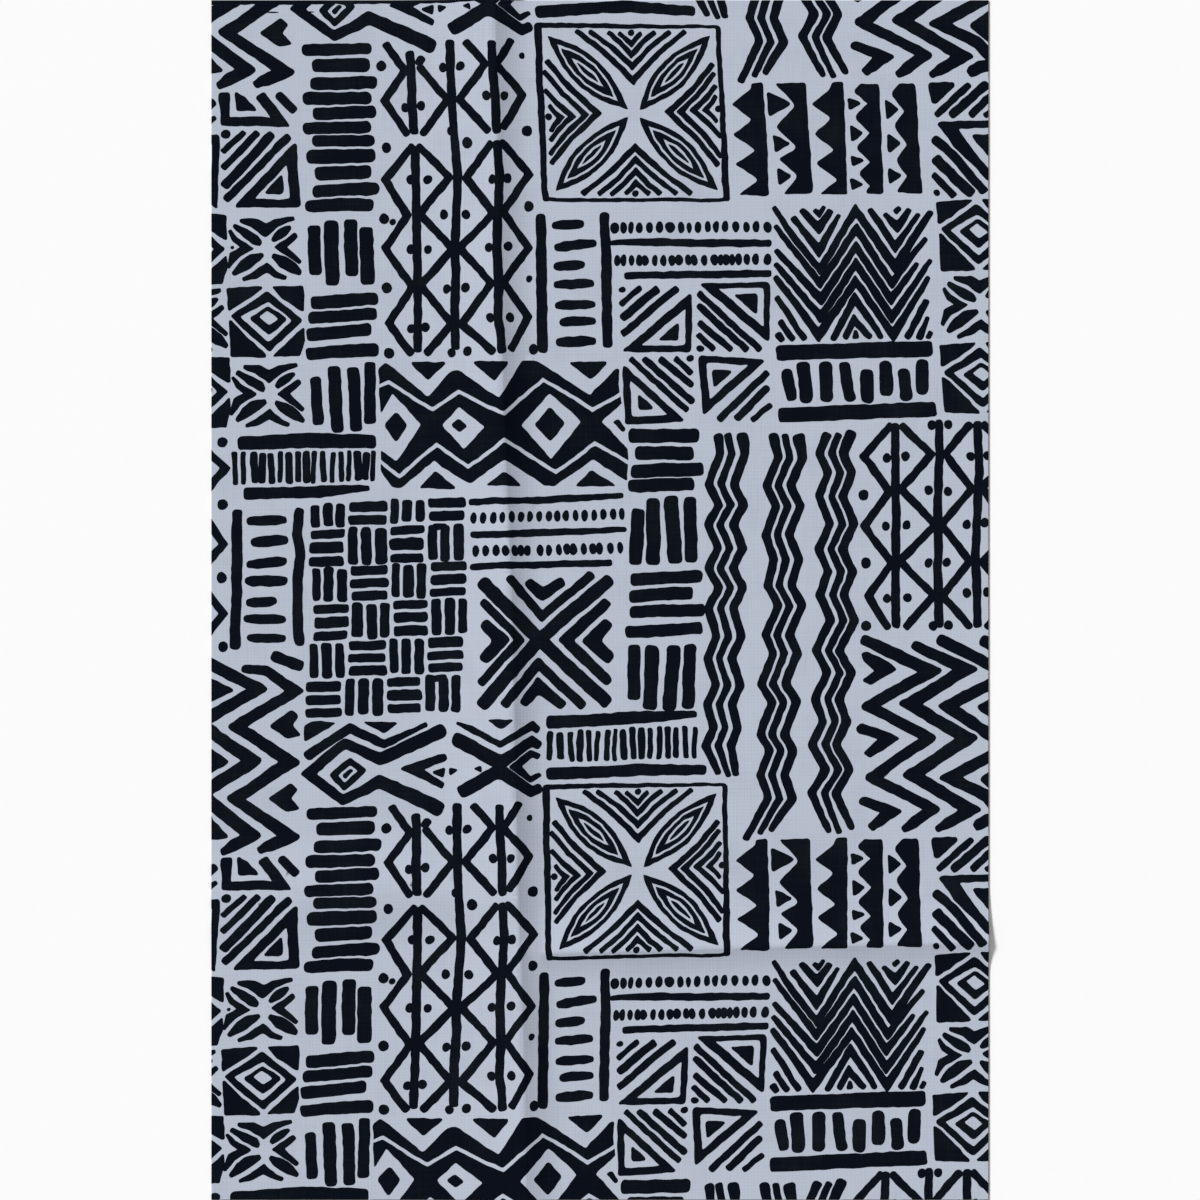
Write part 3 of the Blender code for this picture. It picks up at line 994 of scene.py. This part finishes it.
def thinned(outline):
    # the outline without the points that lie within the tolerance of a straight run
    far = int(np.argmax(abs(outline - outline[0])))
    closed = np.append(outline, outline[0])
    keep = {0, far}
    stack = [(0, far), (far, len(outline))]
    while stack:
        first, last = stack.pop()
        if last - first < 2:
            continue
        chord = closed[last] - closed[first]
        away = closed[first + 1:last] - closed[first]
        size = abs(chord)
        gaps = abs((away * chord.conjugate()).imag) / size if size > 1e-9 else abs(away)
        worst = int(np.argmax(gaps))
        if gaps[worst] > handCut["tolerance"]:
            middle = first + 1 + worst
            keep.add(middle)
            stack += [(first, middle), (middle, last)]
    return outline[sorted(keep)]


def layPrint():
    # every outline that touches the cloth, in painting order
    noise.seed_set(handCut["noiseSeed"])
    blocks =[(roughened(outline, ink), ink) for outline, ink in shapes]
    laid = []
    for step in (None, stepUp, stepDown):
        for beside in (0, besideStep):
            for outline, ink in blocks:
                placed = outline + beside + printShift
                if step:
                    placed = np.array([step(p) for p in placed])
                if placed.real.max() < 0 or placed.real.min() > cutLength["width"]:
                    continue
                if placed.imag.max() < 0 or placed.imag.min() > cutLength["length"]:
                    continue
                laid.append((placed, ink))
    edge = [complex(*p) for p in topEdgeBand["edge"]]
    past = topEdgeBand["past"]
    line = np.array([*edge, complex(edge[-1].real, past), complex(edge[0].real, past)])
    laid.append((roughened(line, True), True))
    for speck in topEdgeBand["specks"]:
        laid.append((oval(*speck), True))
    return laid


print("print: drawing the blocks")
printDiamondBand()
printBars()
for comb in combs.values():
    printComb(comb)
for ladder in ladders.values():
    printLadder(ladder)
printLattice("left")
printLattice("right")
printRosette()
printBeads()
printSawColumns()
printNestedZigzags()
printTriangleCells()
printChequer()
printBigCross()
printBasket()
printWaves()
printGreatZigzags()
printEyeBand()
laidShapes = layPrint()
print("print:", len(shapes), "shapes in the repeat,", len(laidShapes), "on the cloth,",
      sum(len(outline) for outline, ink in laidShapes), "points")


# Creases
# Rows along each crease, in millimetres: place along it, where the crest lies across it, height,
# width of the lit side and of the shaded side, and how rounded the crest is, from 0 to 1
lengthwiseCrease = np.array((
    (-284, -35, 2.6, 58, 18, 0.15),
    (-190, -37, 3.2, 60, 17, 0.10),
    (-142, -39, 3.5, 60, 16, 0.05),
    (0, -42, 3, 60, 15, 0.00),
    (95, -46, 3.3, 60, 16, 0.00),
    (190, -48, 2.8, 58, 15, 0.05),
    (284, -50, 3.1, 56, 16, 0.10),
), float)

crosswiseCrease = np.array((
    (-184, -144, 0.6, 34, 34, 1.00),
    (-109, -137, 2, 32, 30, 1.00),
    (-71, -137, 2.6, 30, 28, 0.90),
    (-47, -150, 2.6, 30, 23, 0.50),
    (-28, -167, 2.8, 30, 16, 0.10),
    (76, -164, 2.6, 30, 15, 0.05),
    (184, -162, 2.2, 28, 15, 0.15),
), float)


sheetMesh = {
    "sideShares": (0.05, 0.12, 0.22, 0.36, 0.55, 0.78, 1),      # rows of points down a crease's side
    "closeUnder": 0.3,               # rows nearer the crest than this share have twice the points
    "borderStep": 4,
    "flatStart": 5,                  # the first point of the flat cloth lies this far from the edges
    "flatStep": 9,
    "weld": 0.004,                   # points this close are one
}


def alongCrease(crease, along):
    return [np.interp(along, crease[:, 0], crease[:, i]) for i in range(1, 6)]


def ridge(crease, along, pastCrest):
    crest, height, lit, shaded, roundness = alongCrease(crease, along)
    side = np.where(pastCrest > 0, shaded, lit)
    rise = np.maximum(0, 1 - abs(pastCrest) / side)
    sharp = rise ** 2
    rounded = rise ** 2 * (3 - 2 * rise)
    return height * (sharp + (rounded - sharp) * roundness)


def clothHeight(x, y):
    lengthwise = ridge(lengthwiseCrease, y, x - alongCrease(lengthwiseCrease, y)[0])
    crosswise = ridge(crosswiseCrease, x, alongCrease(crosswiseCrease, x)[0] - y)
    return np.hypot(lengthwise, crosswise)


def creasePoints():
    # crest lines, and rows of points down both sides of each crease
    crests, slopes = [], []
    half = {"x": cutLength["width"] / 2, "y": cutLength["length"] / 2}
    for crease, reach, swap in ((lengthwiseCrease, half["y"], False), (crosswiseCrease, half["x"], True)):
        along = np.linspace(-reach, reach, int(reach))
        crest, height, lit, shaded, roundness = alongCrease(crease, along)
        line = crest + 1j * along
        crests.append(line.imag + 1j * line.real if swap else line)
        for share in sheetMesh["sideShares"]:
            spacing = 1 if share < sheetMesh["closeUnder"] else 2
            for side in (shaded, -lit):
                if swap:
                    slopes.append((along + 1j * (crest - side * share))[::spacing])
                else:
                    slopes.append((crest + side * share + 1j * along)[::spacing])
    return crests, np.concatenate(slopes)


# Sheet
def insideOf(points, outline):
    # which points lie in an outline, by its winding round them
    a = outline[None, :]
    b = np.roll(outline, -1)[None, :]
    p = points[:, None]
    upward = (a.imag <= p.imag) & (b.imag > p.imag)
    downward = (a.imag > p.imag) & (b.imag <= p.imag)
    side = ((b - a).conj() * (p - a)).imag
    return (np.sum(upward & (side > 0), axis=1) - np.sum(downward & (side < 0), axis=1)) != 0


def makeSheet():
    width, length = cutLength["width"], cutLength["length"]
    corner = complex(-width / 2, length / 2)
    onCloth = [(corner + outline.conj(), ink) for outline, ink in laidShapes]

    vertices, edges = [], []

    def addLine(line, closed):
        start = len(vertices)
        vertices.extend(line)
        edges.extend((start + i, start + i + 1) for i in range(len(line) - 1))
        if closed:
            edges.append((start + len(line) - 1, start))

    for margin in (0, cutLength["rim"]):
        x, y = width / 2 - margin, length / 2 - margin
        edgeEnds = (-x - 1j * y, x - 1j * y, x + 1j * y, -x + 1j * y, -x - 1j * y)
        line = []
        for a, b in zip(edgeEnds, edgeEnds[1:]):
            count = int(abs(b - a) / sheetMesh["borderStep"])
            line.extend(a + (b - a) * i / count for i in range(count))
        addLine(line, True)
    for outline, ink in onCloth:
        addLine(list(outline), True)
    crests, slopes = creasePoints()
    for line in crests:
        addLine(list(line), False)
    vertices.extend(slopes)
    start, step = sheetMesh["flatStart"], sheetMesh["flatStep"]
    flatRows = np.arange(-length / 2 + start, length / 2, step)
    for x in np.arange(-width / 2 + start, width / 2, step):
        vertices.extend(complex(x, y) for y in flatRows)

    places = [Vector((p.real, p.imag)) for p in vertices]
    corners, _, triangles, *_ = delaunay_2d_cdt(places, edges, [], 0, sheetMesh["weld"], False)
    spot = np.array([complex(*c) for c in corners])
    triangles = np.array([list(t) for t in triangles])
    middle = spot[triangles].mean(axis=1)
    onIt = (abs(middle.real) < width / 2) & (abs(middle.imag) < length / 2)
    triangles, middle = triangles[onIt], middle[onIt]

    dark = np.zeros(len(triangles), bool)
    for outline, ink in onCloth:
        near = np.flatnonzero((middle.real >= outline.real.min()) & (middle.real <= outline.real.max())
                              & (middle.imag >= outline.imag.min()) & (middle.imag <= outline.imag.max()))
        if len(near):
            dark[near[insideOf(middle[near], outline)]] = ink

    used = np.unique(triangles)
    place = np.zeros(len(spot), int)
    place[used] = np.arange(len(used))
    spot = spot[used]
    height = clothHeight(spot.real, spot.imag) + cutLength["lift"]
    mesh = bpy.data.meshes.new("printedCloth")
    mesh.from_pydata(np.column_stack([spot.real, spot.imag, height]) * mm, [], place[triangles].tolist())
    mesh.polygons.foreach_set("material_index", dark.astype(np.int32))
    mesh.shade_smooth()
    mesh.update()
    print("sheet:", len(spot), "points,", len(triangles), "triangles a side")

    sheet = bpy.data.objects.new("printedCloth", mesh)
    bpy.context.scene.collection.objects.link(sheet)
    body = sheet.modifiers.new("thickness", "SOLIDIFY")
    body.thickness = cutLength["thickness"] * mm
    body.offset = 1.0
    return sheet


# Cotton
cotton = {
    "ground": (0.462, 0.503, 0.591),
    "groundDeep": (0.425, 0.465, 0.555),
    "ink": (0.0030, 0.0045, 0.0095),
    "inkWorn": (0.0060, 0.0090, 0.0120),
    "groundGloss": 0.12,
    "inkGloss": 0.02,
    "roughness": 0.92,
    "threadsPerMetre": 3000,
    "threadWander": (0.6, 0.4),      # how far the threads stray, and at what scale
    "weaveDepth": 0.00005,
    "weaveStrength": 0.35,
    "slubDepth": 0.00008,
    "slubStrength": 0.5,
    "warpScale": (1100, 55, 300),    # slubs run along the threads
    "weftScale": (55, 1100, 300),
    "slubDetail": 3,
    "slubTone": 0.45,                # the slubs' weight in the tone, where the cloud's is 1
    "cloudScale": 38,
    "cloudDetail": 4,
    "deepest": 0.7,                  # the tone below which the colour is the deeper one
}
waveBands = 20      # Blender's wave texture has this many bands in 2 pi metres at a scale of 1


def addNode(tree, kind, inputs=None, **settings):
    node = tree.nodes.new(kind)
    for name, value in settings.items():
        setattr(node, name, value)
    for name, value in (inputs or {}).items():
        if isinstance(value, bpy.types.NodeSocket):
            tree.links.new(value, node.inputs[name])
        else:
            node.inputs[name].default_value = value
    return node


def stretched(tree, where, scale):
    return addNode(tree, "ShaderNodeMapping", {"Vector": where, "Scale": scale}).outputs["Vector"]


def cottonMaterial(name, light, deep, gloss):
    # plain weave with slubs, in a pale or an inked colour
    material = bpy.data.materials.new(name)
    material.use_nodes = True
    tree = material.node_tree
    shader = tree.nodes["Principled BSDF"]
    shader.inputs["Roughness"].default_value = cotton["roughness"]
    shader.inputs["Specular IOR Level"].default_value = gloss
    where = addNode(tree, "ShaderNodeTexCoord").outputs["Object"]

    warp, weft = (
        addNode(tree, "ShaderNodeTexNoise",
                {"Vector": stretched(tree, where, cotton[name]), "Scale": 1.0,
                 "Detail": cotton["slubDetail"]})
        for name in ("warpScale", "weftScale")
    )
    slubs = addNode(tree, "ShaderNodeMath", {0: warp.outputs["Fac"], 1: weft.outputs["Fac"]},
                    operation="ADD")
    cloud = addNode(tree, "ShaderNodeTexNoise",
                    {"Vector": where, "Scale": cotton["cloudScale"], "Detail": cotton["cloudDetail"]})
    tone = addNode(tree, "ShaderNodeMath",
                   {0: slubs.outputs[0], 1: cotton["slubTone"], 2: cloud.outputs["Fac"]},
                   operation="MULTIPLY_ADD")
    ramp = addNode(tree, "ShaderNodeValToRGB", {"Fac": tone.outputs[0]})
    ramp.color_ramp.elements[0].position = cotton["deepest"]
    ramp.color_ramp.elements[0].color = (*deep, 1)
    ramp.color_ramp.elements[1].color = (*light, 1)
    tree.links.new(ramp.outputs["Color"], shader.inputs["Base Color"])

    scale = cotton["threadsPerMetre"] * 2 * math.pi / waveBands / 2      # a band spans two threads
    stray, strayScale = cotton["threadWander"]
    over, under = (
        addNode(tree, "ShaderNodeTexWave",
                {"Vector": where, "Scale": scale, "Distortion": stray, "Detail Scale": strayScale},
                bands_direction=direction)
        for direction in "XY"
    )
    weave = addNode(tree, "ShaderNodeMath", {0: over.outputs["Fac"], 1: under.outputs["Fac"]},
                    operation="ADD")
    fine = addNode(tree, "ShaderNodeBump",
                   {"Height": weave.outputs[0], "Strength": cotton["weaveStrength"],
                    "Distance": cotton["weaveDepth"]})
    coarse = addNode(tree, "ShaderNodeBump",
                     {"Height": slubs.outputs[0], "Strength": cotton["slubStrength"],
                      "Distance": cotton["slubDepth"], "Normal": fine.outputs["Normal"]})
    tree.links.new(coarse.outputs["Normal"], shader.inputs["Normal"])
    return material


print("sheet: cutting the printed cloth")
printedCloth = makeSheet()
for name, light, deep, gloss in (
    ("groundCotton", "ground", "groundDeep", "groundGloss"),
    ("inkedCotton", "ink", "inkWorn", "inkGloss"),
):
    printedCloth.data.materials.append(cottonMaterial(name, cotton[light], cotton[deep], cotton[gloss]))
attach(printedCloth, "root")
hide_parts("cloth")


# Studio
studio = {
    "lens": 85,
    "sensor": 36,
    "clipEnd": 20,
    "viewHeight": 1200 * 0.36 / 760,       # the photo's 1200 pixels, where 760 pixels are the 0.36 m repeat
    "floorSize": 6,
    "floorColour": (0.96, 0.96, 0.96),
    "floorRoughness": 0.9,
    "floorGloss": 0.1,
    "grainShade": 0.985,                   # the grain's darkest share of the floor's colour
    "grainScale": 240,
    "grainDetail": 2,
    "keyElevation": 30,
    "keyAzimuth": 143,                     # from the upper left
    "keyStrength": 4.1,
    "keySoftness": 14,
    "keyDistance": 2,
    "fill": 0.36,
}


def makeStudio():
    scene = bpy.context.scene
    scene.view_settings.view_transform = "Standard"

    world = bpy.data.worlds.new("studioWorld")
    world.use_nodes = True
    world.node_tree.nodes["Background"].inputs["Color"].default_value = (1, 1, 1, 1)
    world.node_tree.nodes["Background"].inputs["Strength"].default_value = studio["fill"]
    scene.world = world

    bpy.ops.mesh.primitive_plane_add(size=studio["floorSize"], location=(0, 0, 0))
    floor = bpy.context.object
    floor.name = "studioFloor"
    paper = bpy.data.materials.new("floorPaper")
    paper.use_nodes = True
    shader = paper.node_tree.nodes["Principled BSDF"]
    shader.inputs["Roughness"].default_value = studio["floorRoughness"]
    shader.inputs["Specular IOR Level"].default_value = studio["floorGloss"]
    where = addNode(paper.node_tree, "ShaderNodeTexCoord").outputs["Object"]
    grain = addNode(paper.node_tree, "ShaderNodeTexNoise",
                    {"Vector": where, "Scale": studio["grainScale"], "Detail": studio["grainDetail"]})
    ramp = addNode(paper.node_tree, "ShaderNodeValToRGB", {"Fac": grain.outputs["Fac"]})
    ramp.color_ramp.elements[0].color = tuple(studio["grainShade"] * c for c in studio["floorColour"]) + (1,)
    ramp.color_ramp.elements[1].color = (*studio["floorColour"], 1)
    paper.node_tree.links.new(ramp.outputs["Color"], shader.inputs["Base Color"])
    floor.data.materials.append(paper)

    key = bpy.data.lights.new("keyLight", "SUN")
    key.energy = studio["keyStrength"]
    key.angle = math.radians(studio["keySoftness"])
    lamp = bpy.data.objects.new("keyLight", key)
    elevation, azimuth = math.radians(studio["keyElevation"]), math.radians(studio["keyAzimuth"])
    level = math.cos(elevation)
    towards = Vector((level * math.cos(azimuth), level * math.sin(azimuth), math.sin(elevation)))
    lamp.rotation_euler = towards.to_track_quat("Z", "Y").to_euler()
    lamp.location = towards * studio["keyDistance"]
    scene.collection.objects.link(lamp)

    camera = bpy.data.cameras.new("overheadCamera")
    camera.lens = studio["lens"]
    camera.sensor_width = studio["sensor"]
    camera.clip_end = studio["clipEnd"]
    eye = bpy.data.objects.new("overheadCamera", camera)
    eye.location = (0, 0, studio["viewHeight"] * studio["lens"] / studio["sensor"])
    scene.collection.objects.link(eye)
    scene.camera = eye


print("studio: floor, light and camera")
makeStudio()
